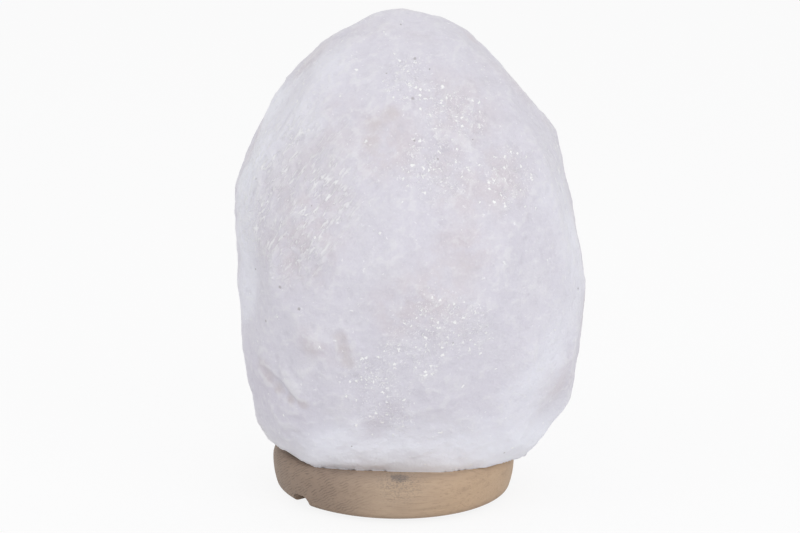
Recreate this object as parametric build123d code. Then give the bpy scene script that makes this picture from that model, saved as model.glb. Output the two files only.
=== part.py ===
from build123d import *
import math
import os

# Salt crystal lamp: a hewn block of salt on a turned wooden base. The lampholder with its bulb
# is pushed up into the block from below, and a spring clip holds it in the base's centre hole.
# Millimetres. Z is up and 0 is the table. Everything is drawn about the axis of the centre
# hole, and the finished pieces are moved so that the crystal's middle is over the origin.

# ---------------------------------------------------------------- driving sizes
# wooden base
base_d = 120.0            # widest diameter
base_h = 20.0             # thickness
base_shoulder_r = 6.0     # rounding of the top edge
base_flank_r = 40.0       # curve of the flank below the shoulder
base_edge_r = 3.0         # rounding of the lower edge
base_hole_d = 46.0        # centre hole
groove_az = 220.0         # direction of the cord groove, degrees from +X
groove_w = 12.0
groove_h = 5.0
groove_corner_r = 4.0
foot_d = 14.0
foot_h = 2.0
foot_circle_d = 84.0
foot_count = 4

# screws between base and crystal
screw_circle_d = 70.0
screw_count = 2
screw_d = 4.5
screw_l = 40.0            # under the head
screw_head_d = 9.0
screw_head_h = 3.0
screw_point_l = 5.0
screw_tip_r = 0.3
screw_point_sides = 8
screw_slot_l = 5.4
screw_slot_w = 1.0
screw_slot_h = 1.2
counterbore_d = 10.5
counterbore_h = 5.0
plug_d = 8.0
plug_l = 30.0
plug_sides = 10

# salt crystal: each section's place up its height as a share, then the section's reach to the
# left, right, front and back of the hole's axis
crystal_h = 217.0
crystal_sections = [
    (0.0, 63.0, 67.0, 43.5, 47.0),
    (0.055, 69.8, 78.5, 52.0, 56.0),
    (0.138, 72.0, 87.0, 61.0, 66.0),
    (0.253, 74.2, 90.8, 69.0, 73.0),
    (0.369, 76.6, 93.6, 73.5, 76.0),
    (0.484, 78.2, 87.8, 74.0, 76.5),
    (0.6, 79.0, 84.0, 70.5, 73.0),
    (0.714, 70.0, 78.5, 63.0, 65.0),
    (0.811, 58.0, 63.0, 51.5, 52.0),
    (0.899, 44.5, 44.5, 37.0, 37.0),
    (0.959, 26.0, 30.5, 22.0, 23.0),
    (1.0, 9.5, 3.5, 7.0, 7.0),
]
squareness = 2.5          # of the sections: 2 would be an ellipse
section_steps = 72        # points that stand for a section
spiral_stride = 137.5     # degrees from one chisel mark to the next
depth_stride = 0.7549     # spreads the marks' depths evenly
small_flat_count = 110    # chisel marks all over, in a spiral from the top down
small_flat_lowest = -0.72 # sine of the lowest mark's tilt
small_flat_least = 0.2    # least and greatest depth of a mark
small_flat_most = 2.2
crystal_bore_d = 42.0
crystal_bore_l = 106.0    # up to where the drill's point begins
bore_point_l = 10.0       # cone left by the drill's point

# larger flats: direction and upward tilt of the flat's normal, and how deep it cuts into the
# outermost point there
large_flats = [
    (232.0, 24.0, 4.0),
    (305.0, 30.0, 3.5),
    (268.0, -14.0, 2.5),
    (322.0, -22.0, 4.0),
    (208.0, -18.0, 3.5),
    (40.0, 28.0, 4.0),
    (95.0, 10.0, 4.0),
    (140.0, 34.0, 5.0),
    (130.0, -16.0, 4.0),
    (60.0, -20.0, 4.5),
    (285.0, 62.0, 2.5),
    (100.0, 60.0, 3.0),
    (182.0, -9.0, 1.8),
    (356.0, 14.0, 2.2),
    (352.0, -6.0, 1.6),
]
# shallow shell-shaped breaks: direction, tilt, radius of the hollow and its depth
shell_breaks = [
    (277.0, 20.0, 42.0, 3.2),
    (222.0, -32.0, 26.0, 3.0),
    (20.0, 12.0, 55.0, 3.0),
    (160.0, -2.0, 60.0, 3.5),
]

# lampholder, from the nipple's lower end up
nipple_bottom = 3.0       # above the table
nipple_d = 10.0
nipple_bore_d = 7.0
nipple_l = 13.0
nut_bottom = 4.0
nut_flats = 14.0
nut_h = 3.0
washer_d = 16.0
washer_t = 0.8
clip_t = 0.8
clip_w = 14.0
clip_reach = 3.5          # of the strap's level part beyond the cap's sides
clip_bend_r = 2.5
clip_waist = 0.55         # where a wing bows out furthest, as a share of its height
clip_waist_bend_r = 5.0
clip_tip_bend_r = 1.2
clip_curl_l = 4.0
cap_d = 27.0              # across the flats
cap_h = 9.4               # up to the barrel
cap_floor_t = 6.0
cap_neck_l = 6.0          # pushed up into the barrel
cap_neck_wall = 1.5
barrel_wall = 1.0         # round the cap's neck
barrel_grip_h = 14.0      # flat-sided part
barrel_neck_d = 19.0
barrel_h = 31.0
grip_sides = 12
core_h = 7.0
terminal_x = 7.0          # of each terminal from the axis
block_w = 5.0
block_l = 6.0
block_h = 3.8
pocket_h = 4.2
terminal_screw_d = 2.5
terminal_head_d = 4.6
terminal_head_h = 1.8
terminal_screw_l = 3.4
sleeve_bore_d = 14.5
sleeve_wall = 0.5
sleeve_h = 16.0
sleeve_flange_d = 17.6
sleeve_flange_t = 0.5
leaf_t = 0.4
leaf_w = 4.0
leaf_gap = 1.6            # from the sleeve's bore to the leaf's ends
leaf_turn_x = 3.4         # where the folded leaf comes level under the tip
leaf_end_x = -2.0

# bulb, cap E14
contact_bottom = 3.8      # above the core's top
contact_d = 4.6
contact_h = 1.6
insulator_h = 3.0
insulator_low_d = 6.4     # round the tip
insulator_d = 13.2
bulb_cap_d = 13.8
bulb_cap_wall = 0.5
bulb_cap_h = 16.0
glass_neck_d = 12.3
glass_wall = 0.7
glass_d = 26.0
bulb_l = 58.0
neck_l = 5.0              # of the glass inside the cap
flare_l = 16.0            # from the neck to the full width
flare_bends = [(0.25, 0.15), (0.75, 0.85)]  # share of the flare's height, of its widening
dome_top_angle = 80.0     # where the dome ends in a small flat
glass_sides = 24
stem_d = 5.0
stem_flare_d = 10.4
stem_flare_l = 5.0
stem_l = 20.0
wire_d = 0.6
wire_gap = 3.0            # between the wires where they leave the stem
wire_spread = 13.0        # between their upper ends
wire_rise = 9.0
wire_straight_l = 3.0     # before the wires spread
filament_d = 0.5
filament_drop = 3.0       # sag of the bends between its supports
support_d = 0.35
support_gap = 1.1         # from the axis

# bands that a turned round is cut in
edge_steps = 1
flank_steps = 1
shoulder_steps = 3
dome_steps = 4

past = 1.0                # how far a cutting shape runs past the face it starts from

# clearances
fit = 0.05                # threads and pressed pieces, on the radius
slip = 0.2                # pieces that drop into place, on the radius
clip_gap = 0.2            # between the clip's wings and the hole

# ---------------------------------------------------------------- sizes that follow
base_bottom = foot_h
base_top = base_bottom + base_h
crystal_bottom = base_top
crystal_reach_left = max(section[1] for section in crystal_sections)
crystal_reach_right = max(section[2] for section in crystal_sections)
crystal_reach_front = max(section[3] for section in crystal_sections)
crystal_reach_back = max(section[4] for section in crystal_sections)
nut_top = nut_bottom + nut_h
washer_top = nut_top + washer_t
clip_top = washer_top + clip_t
cap_bottom = clip_top
barrel_bottom = cap_bottom + cap_h
core_bottom = barrel_bottom + cap_neck_l
core_top = core_bottom + core_h
barrel_top = barrel_bottom + barrel_h
tip_bottom = core_top + contact_bottom
insulator_bottom = tip_bottom + contact_h
bulb_cap_bottom = insulator_bottom + insulator_h
bulb_cap_top = bulb_cap_bottom + bulb_cap_h
bulb_top = tip_bottom + bulb_l
stem_bottom = bulb_cap_top - neck_l
stem_top = stem_bottom + stem_l
filament_z = stem_top + wire_rise

upright = (Align.CENTER, Align.CENTER, Align.MIN)
groove_direction = Vector(math.cos(math.radians(groove_az)), math.sin(math.radians(groove_az)), 0)


def ring_places(radius, first, step, count):
    """Places round the axis, a step of degrees apart."""
    places = []
    for index in range(count):
        angle = math.radians(first + step * index)
        places.append((radius * math.cos(angle), radius * math.sin(angle)))
    return places


def turned(*points):
    """A turned solid from its half outline: radius and height of each point."""
    outline = make_face(Polyline(*points, close=True))
    return revolve(Plane.XZ * outline, axis=Axis.Z)


def arc_points(centre, radius, first, last, steps):
    """Points along a round stretch of a half outline, between two angles."""
    points = []
    for step in range(steps + 1):
        angle = math.radians(first + (last - first) * step / steps)
        points.append((centre[0] + radius * math.cos(angle), centre[1] + radius * math.sin(angle)))
    return points


def round_bar(diameter, bottom, top):
    """An upright cylinder between two heights."""
    return Pos(0, 0, bottom) * Cylinder(diameter / 2, top - bottom, align=upright)


def flat_sided(*points, sides):
    """A turned form drawn with flat sides: radius and height of each point, bottom to top."""
    rings = []
    for radius, height in points:
        rings.append([Vector(x, y, height) for x, y in ring_places(radius, 0, 360.0 / sides, sides)])
    faces = [Face(Wire.make_polygon(rings[0])), Face(Wire.make_polygon(rings[-1]))]
    for lower, upper in zip(rings, rings[1:]):
        for side in range(sides):
            following = (side + 1) % sides
            corners = [lower[side], lower[following], upper[following], upper[side]]
            faces.append(Face(Wire.make_polygon(corners)))
    return Solid(Shell(faces))


def tube(outer_d, inner_d, bottom, top):
    """A plain tube between two heights."""
    return round_bar(outer_d, bottom, top) - round_bar(inner_d, bottom, top)


# ---------------------------------------------------------------- wooden base
def make_wood_base():
    """Turned disc: curved flank, rounded edges, centre hole, cord groove and screw holes."""
    hole_r = base_hole_d / 2
    widest_z = base_top - base_shoulder_r
    flank_x = base_d / 2 - base_flank_r
    # the lower edge's round touches both the flank and the underside
    edge_z = base_bottom + base_edge_r
    flank_angle = math.asin((edge_z - widest_z) / (base_flank_r - base_edge_r))
    edge_x = flank_x + (base_flank_r - base_edge_r) * math.cos(flank_angle)
    flank_angle = math.degrees(flank_angle)
    base = turned(
        (hole_r, base_top),
        (hole_r, base_bottom),
        *arc_points((edge_x, edge_z), base_edge_r, -90, flank_angle, edge_steps),
        *arc_points((flank_x, widest_z), base_flank_r, flank_angle, 0, flank_steps)[1:],
        *arc_points((base_d / 2 - base_shoulder_r, widest_z), base_shoulder_r, 0, 90, shoulder_steps)[1:],
    )
    base -= groove_space()
    seat = base_bottom + counterbore_h
    for x, y in screw_places():
        base -= Pos(x, y, 0) * round_bar(counterbore_d, base_bottom - past, seat)
        base -= Pos(x, y, 0) * round_bar(screw_d + 2 * slip, seat - past, base_top + past)
    return base


def groove_space():
    """The cord's way from the centre hole out past the rim, open below."""
    across = Vector(-groove_direction.Y, groove_direction.X, 0)
    start = Plane(origin=(0, 0, base_bottom), x_dir=across, z_dir=groove_direction)
    return extrude(start * RectangleRounded(groove_w, 2 * groove_h, groove_corner_r), amount=base_d)


def screw_places():
    """Either side of the groove."""
    return ring_places(screw_circle_d / 2, groove_az + 90, 360.0 / screw_count, screw_count)


def make_feet():
    """Round feet stuck under the base, clear of the groove and the screws."""
    step = 360.0 / foot_count
    feet = []
    for x, y in ring_places(foot_circle_d / 2, groove_az + step / 2, step, foot_count):
        feet.append(Pos(x, y, 0) * round_bar(foot_d, 0, foot_h))
    return feet


def make_screws():
    """Round-headed wood screws with a cross recess, points up."""
    seat = base_bottom + counterbore_h
    point_bottom = seat + screw_l - screw_point_l
    screws = []
    for x, y in screw_places():
        screw = round_bar(screw_head_d, seat - screw_head_h, seat)
        screw += round_bar(screw_d, seat, point_bottom)
        screw += flat_sided(
            (screw_d / 2, point_bottom), (screw_tip_r, seat + screw_l), sides=screw_point_sides
        )
        for turn in (0, 90):
            slot = Box(screw_slot_l, screw_slot_w, screw_slot_h, align=upright)
            screw -= Pos(0, 0, seat - screw_head_h) * Rot(0, 0, turn) * slot
        screws.append(Pos(x, y, 0) * screw)
    return screws


def make_plugs():
    """Plastic plugs pushed into the crystal, each gripped by its screw."""
    plugs = []
    for x, y in screw_places():
        plug = flat_sided(
            (plug_d / 2, crystal_bottom), (plug_d / 2, crystal_bottom + plug_l), sides=plug_sides
        )
        plug -= round_bar(screw_d + 2 * fit, crystal_bottom, crystal_bottom + plug_l)
        plugs.append(Pos(x, y, 0) * plug)
    return plugs


# ---------------------------------------------------------------- salt crystal
def section_points(section):
    """Points round one section, a rounded four-sided curve with its own reach each way."""
    share, left, right, front, back = section
    points = []
    for step in range(section_steps):
        angle = 2 * math.pi * step / section_steps
        along = math.copysign(abs(math.cos(angle)) ** (2 / squareness), math.cos(angle))
        across = math.copysign(abs(math.sin(angle)) ** (2 / squareness), math.sin(angle))
        x = along * (right if along > 0 else left)
        y = across * (back if across > 0 else front)
        points.append(Vector(x, y, crystal_bottom + share * crystal_h))
    return points


def aim(direction, tilt):
    """Unit vector from its compass direction and its upward tilt."""
    level = math.cos(math.radians(tilt))
    return Vector(
        level * math.cos(math.radians(direction)),
        level * math.sin(math.radians(direction)),
        math.sin(math.radians(tilt)),
    )


def hewn(block, outline, normal, depth):
    """The block with one flat cut, a depth below the outline's outermost point that way."""
    point = max(outline, key=lambda place: place.dot(normal))
    flat = Plane(origin=point - normal * depth, z_dir=normal)
    return split(block, bisect_by=flat, keep=Keep.BOTTOM)


def make_crystal():
    """Block hewn down to its sections by flats all round, then broken and bored."""
    outline = [point for section in crystal_sections for point in section_points(section)]
    middle = Pos((crystal_reach_right - crystal_reach_left) / 2, 0, crystal_bottom)
    width = crystal_reach_left + crystal_reach_right
    depth = 2 * max(crystal_reach_front, crystal_reach_back)
    crystal = middle * Box(width, depth, crystal_h, align=upright)
    for index in range(small_flat_count):
        rise = 1 - (1 - small_flat_lowest) * (index + 0.5) / small_flat_count
        share = (index * depth_stride) % 1
        cut = small_flat_least + (small_flat_most - small_flat_least) * share
        normal = aim(index * spiral_stride, math.degrees(math.asin(rise)))
        crystal = hewn(crystal, outline, normal, cut)
    for direction, tilt, cut in large_flats:
        crystal = hewn(crystal, outline, aim(direction, tilt), cut)
    for direction, tilt, radius, cut in shell_breaks:
        normal = aim(direction, tilt)
        point = max(outline, key=lambda place: place.dot(normal))
        crystal -= Pos(*(point + normal * (radius - cut))) * Sphere(radius)
    bore_top = crystal_bottom + crystal_bore_l
    crystal -= turned(
        (0, crystal_bottom - past),
        (crystal_bore_d / 2, crystal_bottom - past),
        (crystal_bore_d / 2, bore_top),
        (0, bore_top + bore_point_l),
    )
    for x, y in screw_places():
        crystal -= Pos(x, y, 0) * round_bar(
            plug_d + 2 * fit, crystal_bottom - past, crystal_bottom + plug_l + slip
        )
    return crystal


# ---------------------------------------------------------------- lampholder
def make_nipple():
    return tube(nipple_d, nipple_bore_d, nipple_bottom, nipple_bottom + nipple_l)


def make_nut():
    """Hexagon nut on the nipple, under the washer."""
    blank = extrude(RegularPolygon(nut_flats / 2, 6, major_radius=False), amount=nut_h)
    return Pos(0, 0, nut_bottom) * blank - round_bar(nipple_d + 2 * fit, nut_bottom, nut_top)


def make_washer():
    return tube(washer_d, nipple_d + 2 * slip, nut_top, washer_top)


def make_clip():
    """Bent strap: level under the holder, then a wing each way that bows out to the hole's wall."""
    level = washer_top + clip_t / 2
    # the strap's corners, not its middle, meet the round wall
    wing_r = math.sqrt((base_hole_d / 2 - clip_gap) ** 2 - (clip_w / 2) ** 2) - clip_t / 2
    tip_z = base_top - clip_gap - clip_t / 2
    waist_z = level + (tip_z - level) * clip_waist
    half = FilletPolyline(
        (0, level),
        (cap_d / 2 + clip_reach, level),
        (wing_r, waist_z),
        (wing_r - clip_curl_l / 2, tip_z),
        (wing_r - clip_curl_l, tip_z - clip_curl_l / 2),
        radius=[clip_bend_r, clip_waist_bend_r, clip_tip_bend_r],
    )
    wing = extrude(Plane.XZ * trace(half, clip_t), amount=clip_w / 2, both=True)
    strap = wing + Rot(0, 0, 180) * wing
    return strap - round_bar(nipple_d + 2 * slip, washer_top - past, clip_top + past)


def grip_block(bottom, top):
    """Flat-sided block that fingers can turn."""
    outline = RegularPolygon(cap_d / 2, grip_sides, major_radius=False)
    return Pos(0, 0, bottom) * extrude(outline, amount=top - bottom)


def make_holder_cap():
    """Lower cap: thick floor on the nipple's thread, and a neck that the barrel screws over."""
    neck_d = cap_d - 2 * barrel_wall - 2 * fit
    hollow_d = neck_d - 2 * cap_neck_wall
    floor_top = cap_bottom + cap_floor_t
    cap = grip_block(cap_bottom, barrel_bottom) + round_bar(neck_d, barrel_bottom, core_bottom)
    cap -= round_bar(hollow_d, floor_top, core_bottom)
    return cap - round_bar(nipple_d + 2 * fit, cap_bottom, core_bottom)


def make_barrel():
    """Outer barrel: flat-sided grip, and a neck whose step holds the sleeve's flange down."""
    grip_top = barrel_bottom + barrel_grip_h
    step_z = core_top + sleeve_flange_t + fit
    sleeve_d = sleeve_bore_d + 2 * sleeve_wall
    barrel = grip_block(barrel_bottom, grip_top) + round_bar(barrel_neck_d, grip_top, barrel_top)
    barrel -= round_bar(cap_d - 2 * barrel_wall, barrel_bottom, step_z)
    return barrel - round_bar(sleeve_d + 2 * slip, step_z, barrel_top)


def make_core():
    """Insulating core between the cap's neck and the barrel's shoulder, with terminal pockets."""
    core = round_bar(cap_d - 2 * barrel_wall - 2 * slip, core_bottom, core_top)
    pocket = Box(block_w + 2 * slip, block_l + 2 * slip, pocket_h, align=upright)
    for side in (-1, 1):
        core -= Pos(side * terminal_x, 0, core_bottom) * pocket
    return core


def make_terminal_blocks():
    blocks = []
    for side in (-1, 1):
        block = Pos(0, 0, core_bottom + pocket_h - block_h) * Box(block_w, block_l, block_h, align=upright)
        block -= round_bar(terminal_screw_d + 2 * fit, core_bottom, core_top)
        blocks.append(Pos(side * terminal_x, 0, 0) * block)
    return blocks


def make_terminal_screws():
    """Screws driven up into the terminal blocks."""
    seat = core_bottom + pocket_h - block_h
    screws = []
    for side in (-1, 1):
        screw = round_bar(terminal_head_d, seat - terminal_head_h, seat)
        screw += round_bar(terminal_screw_d, seat, seat + terminal_screw_l)
        screws.append(Pos(side * terminal_x, 0, 0) * screw)
    return screws


def make_sleeve():
    """Brass thread sleeve on the core, with the flange that the barrel holds down."""
    sleeve = tube(sleeve_bore_d + 2 * sleeve_wall, sleeve_bore_d, core_top, core_top + sleeve_h)
    return sleeve + tube(sleeve_flange_d, sleeve_bore_d, core_top, core_top + sleeve_flange_t)


def make_centre_contact():
    """Brass leaf folded back over itself, its free end just under the bulb's tip."""
    foot_z = core_top + leaf_t / 2
    free_z = tip_bottom - leaf_t / 2
    reach = sleeve_bore_d / 2 - leaf_gap
    path = FilletPolyline(
        (-reach, foot_z),
        (reach, foot_z),
        (leaf_turn_x, free_z),
        (leaf_end_x, free_z),
        radius=leaf_t,
    )
    return extrude(Plane.XZ * trace(path, leaf_t), amount=leaf_w / 2, both=True)


# ---------------------------------------------------------------- bulb
def make_bulb_contact():
    """Solder tip."""
    return round_bar(contact_d, tip_bottom, insulator_bottom)


def make_cap_insulator():
    """Black glass that widens from the tip to the shell."""
    return flat_sided(
        (insulator_low_d / 2, insulator_bottom), (insulator_d / 2, bulb_cap_bottom), sides=glass_sides
    )


def make_bulb_cap():
    """Metal shell between the insulator and the glass's neck."""
    return tube(bulb_cap_d, bulb_cap_d - 2 * bulb_cap_wall, bulb_cap_bottom, bulb_cap_top)


def glass_points(inset):
    """Radius and height of the glass's outline, or of its hollow at an inset from it."""
    neck_r = glass_neck_d / 2 - inset
    wide_r = glass_d / 2 - inset
    flare_bottom = bulb_cap_top
    dome_bottom = bulb_top - glass_d / 2
    return [
        (neck_r, stem_bottom),
        (neck_r, flare_bottom),
        *[(neck_r + (wide_r - neck_r) * out, flare_bottom + flare_l * up) for up, out in flare_bends],
        (wide_r, flare_bottom + flare_l),
        *arc_points((0, dome_bottom), wide_r, 0, dome_top_angle, dome_steps),
    ]


def make_bulb_glass():
    """Clear envelope: neck, flare, straight side and dome, all one wall thick."""
    outer = flat_sided(*glass_points(0), sides=glass_sides)
    return outer - flat_sided(*glass_points(glass_wall), sides=glass_sides)


def make_glass_stem():
    """Stem that closes the neck with its flare below, and is pinched on the wires above."""
    return flat_sided(
        (stem_flare_d / 2, stem_bottom),
        (stem_d / 2, stem_bottom + stem_flare_l),
        (stem_d / 2, stem_top),
        sides=glass_sides,
    )


def wire_along(path, diameter):
    """Wire with sharp bends, too thin for its roundness to show, so drawn square."""
    section = Plane(origin=path @ 0, z_dir=path % 0) * Rectangle(diameter, diameter)
    return sweep(section, path=path, transition=Transition.RIGHT)


def make_lead_wires():
    """Two wires from the stem's top, spread to the filament's ends."""
    wires = []
    for side in (-1, 1):
        path = Polyline(
            (side * wire_gap / 2, 0, stem_top),
            (side * wire_gap / 2, 0, stem_top + wire_straight_l),
            (side * wire_spread / 2, 0, filament_z),
        )
        wires.append(wire_along(path, wire_d))
    return wires


def make_filament():
    """Bent filament between the wires' upper ends."""
    half = wire_spread / 2
    rest_z = filament_z + wire_d / 2 + filament_d / 2
    points = [
        (-half, 0, rest_z),
        (-half / 2, 0, rest_z + filament_drop),
        (0, 0, rest_z),
        (half / 2, 0, rest_z + filament_drop),
        (half, 0, rest_z),
    ]
    return wire_along(Polyline(*points), filament_d)


def make_filament_supports():
    supports = []
    for side in (-1, 1):
        bottom = stem_top
        top = filament_z + filament_drop
        path = Line((0, side * support_gap, bottom), (0, side * support_gap, top))
        supports.append(wire_along(path, support_d))
    return supports


# ---------------------------------------------------------------- the whole lamp
def make_all():
    """Every node's solids, by name."""
    return {
        "salt_crystal": [make_crystal()],
        "wood_base": [make_wood_base()],
        "base_screws": make_screws(),
        "screw_plugs": make_plugs(),
        "rubber_feet": make_feet(),
        "cord_nipple": [make_nipple()],
        "clip_nut": [make_nut()],
        "lock_washer": [make_washer()],
        "spring_clip": [make_clip()],
        "holder_cap": [make_holder_cap()],
        "holder_barrel": [make_barrel()],
        "holder_core": [make_core()],
        "terminal_blocks": make_terminal_blocks(),
        "terminal_screws": make_terminal_screws(),
        "thread_sleeve": [make_sleeve()],
        "centre_contact": [make_centre_contact()],
        "bulb_contact": [make_bulb_contact()],
        "cap_insulator": [make_cap_insulator()],
        "bulb_cap": [make_bulb_cap()],
        "bulb_glass": [make_bulb_glass()],
        "glass_stem": [make_glass_stem()],
        "lead_wires": make_lead_wires(),
        "filament": [make_filament()],
        "filament_supports": make_filament_supports(),
    }


def export_all():
    """Moves the lamp so that the crystal's middle is over the origin, and writes each node."""
    os.makedirs("parts", exist_ok=True)
    shift = Pos(
        (crystal_reach_left - crystal_reach_right) / 2,
        (crystal_reach_front - crystal_reach_back) / 2,
        0,
    )
    for name, solids in make_all().items():
        placed = [solid for piece in solids for solid in (shift * piece).solids()]
        node = placed[0] if len(placed) == 1 else Compound(children=placed)
        node.label = name
        export_step(node, os.path.join("parts", name + ".step"))
        print(name, len(placed), "solids", round(sum(solid.volume for solid in placed), 1), "mm3")


export_all()
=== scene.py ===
import bpy
import bmesh
from math import asin, cos, exp, hypot, pi, radians, sin
from mathutils import Matrix, Vector, noise


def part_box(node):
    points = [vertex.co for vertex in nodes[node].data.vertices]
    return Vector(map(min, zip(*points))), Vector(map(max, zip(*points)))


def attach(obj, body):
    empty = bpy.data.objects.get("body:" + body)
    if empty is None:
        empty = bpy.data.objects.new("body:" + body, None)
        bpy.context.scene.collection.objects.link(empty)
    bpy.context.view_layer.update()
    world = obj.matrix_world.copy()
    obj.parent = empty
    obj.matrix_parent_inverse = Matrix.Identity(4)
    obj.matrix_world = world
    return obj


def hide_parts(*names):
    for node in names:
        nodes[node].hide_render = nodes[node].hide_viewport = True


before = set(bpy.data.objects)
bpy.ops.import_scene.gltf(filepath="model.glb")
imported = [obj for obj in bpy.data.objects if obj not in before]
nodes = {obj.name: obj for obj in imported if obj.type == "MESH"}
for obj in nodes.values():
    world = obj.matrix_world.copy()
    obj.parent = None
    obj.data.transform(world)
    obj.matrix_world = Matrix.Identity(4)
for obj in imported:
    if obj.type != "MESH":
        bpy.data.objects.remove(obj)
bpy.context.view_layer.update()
mm = 0.001
axisX, axisY = -7.3 * mm, -1.25 * mm    # the holder's axis, which is the base's too
print("frame loaded,", len(nodes), "nodes")


# shader maths: a socket that adds its nodes as it is written
class Sock:
    def __init__(self, look, socket):
        self.look = look
        self.socket = socket

    def maths(self, operation, *values):
        return self.look.node("ShaderNodeMath", {"operation": operation}, dict(enumerate(values)))

    def __add__(self, other):
        return self.maths("ADD", self, other)

    def __radd__(self, other):
        return self.maths("ADD", other, self)

    def __sub__(self, other):
        return self.maths("SUBTRACT", self, other)

    def __rsub__(self, other):
        return self.maths("SUBTRACT", other, self)

    def __mul__(self, other):
        return self.maths("MULTIPLY", self, other)

    def __rmul__(self, other):
        return self.maths("MULTIPLY", other, self)

    def most(self, other):
        return self.maths("MAXIMUM", self, other)


class Graph:    # a node tree, and the one method that adds any node to it
    def __init__(self, tree):
        self.tree = tree

    def node(self, kind, settings, inputs, output=0):    # type, settings, then sockets
        made = self.tree.nodes.new(kind)
        for key, value in settings.items():
            setattr(made, key, value)
        for key, value in inputs.items():
            self.feed(made.inputs[key], value)
        return Sock(self, made.outputs[output])

    def feed(self, socket, value):
        if isinstance(value, Sock):
            self.tree.links.new(value.socket, socket)
        else:
            socket.default_value = value

    def seenDirectly(self):    # 1 for camera, glossy and transmission rays
        rays = ["Is Camera Ray", "Is Glossy Ray", "Is Transmission Ray"]
        camera, glossy, through = [self.node("ShaderNodeLightPath", {}, {}, ray) for ray in rays]
        return camera.most(glossy).most(through)

    def surface(self, output, share, first, second):    # two shaders mixed, and shown
        mixed = self.node("ShaderNodeMixShader", {}, {0: share, 1: first, 2: second})
        self.feed(self.tree.nodes[output].inputs["Surface"], mixed)


class Look(Graph):
    def __init__(self, name, **fixed):
        self.material = bpy.data.materials.new(name)
        self.material.use_nodes = True
        super().__init__(self.material.node_tree)
        self.shader = self.tree.nodes["Principled BSDF"]
        self.set(**fixed)

    def set(self, **values):    # subsurfaceWeight=... sets "Subsurface Weight"
        for key, value in values.items():
            words = "".join(" " + letter if letter.isupper() else letter for letter in key)
            words = {"ior": "IOR", "specularLevel": "Specular IOR Level"}.get(key, words)
            self.feed(self.shader.inputs[words[0].upper() + words[1:]], value)

    def place(self, move=(0, 0, 0), turn=(0, 0, 0), stretch=(1, 1, 1)):
        at = self.node("ShaderNodeTexCoord", {}, {}, 3)
        return self.node("ShaderNodeMapping", {"vector_type": "TEXTURE"},
                         {"Vector": at, "Location": move, "Rotation": turn, "Scale": stretch})

    def noise(self, at, scale, detail=2.0, rough=0.5, warp=0.0):
        return self.node("ShaderNodeTexNoise", {}, {
            "Vector": at, "Scale": scale, "Detail": detail, "Roughness": rough, "Distortion": warp})

    def cells(self, at, scale, output=0, feature="F1"):
        return self.node("ShaderNodeTexVoronoi", {"feature": feature}, {"Vector": at, "Scale": scale}, output)

    def waves(self, at, scale, warp, detail, kind="RINGS", direction="rings_direction"):
        return self.node("ShaderNodeTexWave", {"wave_type": kind, direction: "Z"}, {
            "Vector": at, "Scale": scale, "Distortion": warp, "Detail": detail}, 1)

    def span(self, value, low, high, first=0.0, last=1.0):
        return self.node("ShaderNodeMapRange", {"interpolation_type": "SMOOTHSTEP"}, {
            "Value": value, "From Min": low, "From Max": high, "To Min": first, "To Max": last})

    def mix(self, share, first, second):
        return self.node("ShaderNodeMix", {"data_type": "RGBA", "clamp_factor": True},
                         {0: share, 6: rgba(first), 7: rgba(second)}, 2)

    def ball(self, at, centre, radius, edge):    # 1 inside a ball, fading over the edge
        gap = self.node("ShaderNodeVectorMath", {"operation": "DISTANCE"}, {0: at, 1: centre}, 1)
        return self.span(gap, radius - edge / 2, radius + edge / 2, 1.0, 0.0)

    def vector(self, operation, first, second):
        return self.node("ShaderNodeVectorMath", {"operation": operation}, {0: first, 1: second})

    def moved(self, at, scale, reach, detail=3.0):    # a place moved about by noise
        away = self.node("ShaderNodeTexNoise", {}, {"Vector": at, "Scale": scale, "Detail": detail}, 1)
        away = self.vector("MULTIPLY", self.vector("SUBTRACT", away, (0.5, 0.5, 0.5)), (reach, reach, reach))
        return self.vector("ADD", at, away)

    def flakes(self, at, scale, size, share):    # scattered cells: their size, and how many are lit
        near = self.span(self.cells(at, scale), size * 0.7, size, 1.0, 0.0)
        chance = self.axis(self.cells(at, scale, 1), 0)
        return near * self.span(chance + share, 0.97, 1.0)

    def streaks(self, centre, radius, lean):    # bright slivers in a zone, leaning from upright, in degrees
        at = self.place(turn=(0, radians(lean), 0), stretch=(1, 1, 4.5))
        sliver = self.span(self.noise(at, 760, 2, 0.5, 0.8), 0.52, 0.62)
        patch = self.span(self.noise(self.place(), 130, 2), 0.30, 0.55)
        return sliver * patch * self.ball(self.moved(self.place(), 60, 0.02), centre, radius, radius * 0.8)

    def axis(self, at, index):
        return self.node("ShaderNodeSeparateXYZ", {}, {0: at}, index)

    def bump(self, height, distance, strength):
        return self.node("ShaderNodeBump", {}, {"Height": height, "Distance": distance, "Strength": strength})


def rgba(colour):
    return colour if isinstance(colour, Sock) else (*colour, 1.0)


# making pieces
def shown(name, data):    # a new object in the scene
    made = bpy.data.objects.new(name, data)
    bpy.context.scene.collection.objects.link(made)
    return made


def givePiece(mesh, name, body, slotName, *replaced, angle=35, look=None):    # a slot's look, or its own
    look = look or looks[slotName]
    piece = shown(name, mesh)
    mesh.materials.clear()
    mesh.materials.append(look.material)
    mesh.shade_smooth()
    mesh.set_sharp_from_angle(angle=radians(angle))
    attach(piece, body)
    if replaced:
        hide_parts(*replaced)
    return piece


def meshOf(bm, name):
    mesh = bpy.data.meshes.new(name)
    bm.to_mesh(mesh)
    bm.free()
    return mesh


def evaluated(mesh, addModifiers):    # a mesh after its modifiers, with no object left behind
    helper = shown("helper", mesh)
    extras = addModifiers(helper) or []
    result = bpy.data.meshes.new_from_object(helper.evaluated_get(bpy.context.evaluated_depsgraph_get()))
    for extra in [helper, *extras]:
        bpy.data.objects.remove(extra)
    return result


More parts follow.
